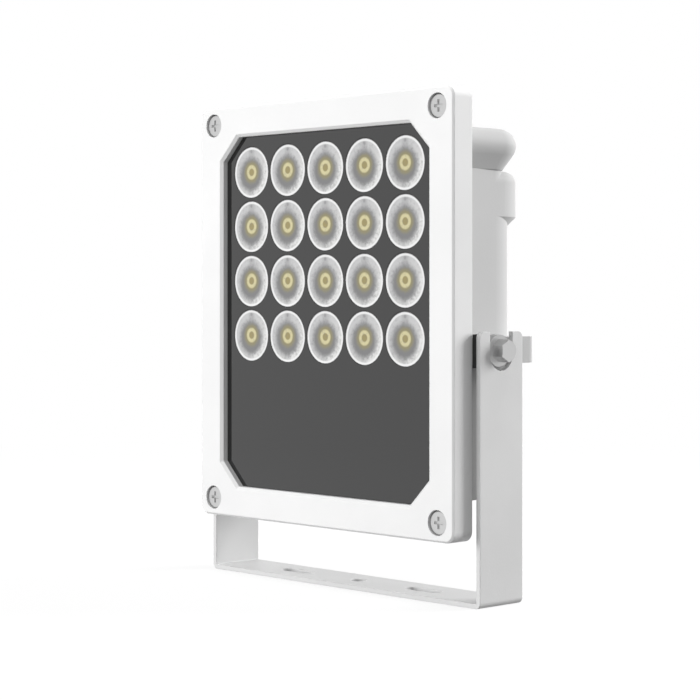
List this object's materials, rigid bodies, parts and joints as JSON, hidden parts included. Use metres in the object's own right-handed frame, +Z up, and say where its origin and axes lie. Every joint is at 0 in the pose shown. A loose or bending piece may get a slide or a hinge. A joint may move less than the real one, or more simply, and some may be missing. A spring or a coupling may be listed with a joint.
{
  "type": "traffic camera illuminator",
  "caption": "Rectangular floodlight head with a grid of round lenses behind an octagonal window, tilting in a folded U bracket.",
  "frame": {"origin": "centre of the bracket's base, on its underside", "axes": "+Z up, the lenses face -Y, the tilt axis is parallel to X"},
  "size_m": [0.2184, 0.0875, 0.2608],
  "materials": {
    "white_paint": "white powder coat on cast aluminium",
    "bracket_paint": "powder coat",
    "steel": "plain",
    "aluminium": "plain",
    "dark_panel": "gloss",
    "lens": "polished",
    "seal_rubber": "matt",
    "pad_rubber": "matt",
    "board": "satin",
    "emitter": "gloss",
    "copper": "wound wire",
    "dark_plastic": "matt",
    "terminal_green": "satin"
  },
  "bodies": {
    "bracket": {"u_bracket": "bracket_paint"},
    "head": {"bezel_screws": "steel", "board_screws": "steel", "driver_board": "board", "driver_capacitors": "dark_plastic", "driver_choke": "copper", "driver_screws": "steel", "front_bezel": "white_paint", "front_panel": "dark_panel", "gland_body": "dark_plastic", "gland_locknut": "dark_plastic", "gland_nut": "dark_plastic", "gland_seal": "seal_rubber", "gland_washer": "seal_rubber", "heat_spreader": "aluminium", "led_board": "board", "led_row_1": "emitter", "led_row_2": "emitter", "led_row_3": "emitter", "led_row_4": "emitter", "lens_r1c1": "lens", "lens_r1c2": "lens", "lens_r1c3": "lens", "lens_r1c4": "lens", "lens_r1c5": "lens", "lens_r2c1": "lens", "lens_r2c2": "lens", "lens_r2c3": "lens", "lens_r2c4": "lens", "lens_r2c5": "lens", "lens_r3c1": "lens", "lens_r3c2": "lens", "lens_r3c3": "lens", "lens_r3c4": "lens", "lens_r3c5": "lens", "lens_r4c1": "lens", "lens_r4c2": "lens", "lens_r4c3": "lens", "lens_r4c4": "lens", "lens_r4c5": "lens", "panel_gasket": "seal_rubber", "pivot_bolt_left": "steel", "pivot_bolt_right": "steel", "pivot_bush_left": "steel", "pivot_bush_right": "steel", "pivot_pad_left": "pad_rubber", "pivot_pad_right": "pad_rubber", "rear_shell": "white_paint", "rim_seal": "seal_rubber", "terminal_block": "terminal_green"}
  },
  "joints": [
    {"name": "head_tilt", "type": "hinge", "parent": "bracket", "child": "head", "pos_m": [0, 0, 0.1285], "axis": [1, 0, 0], "range_deg": [-90, 90]}
  ]
}
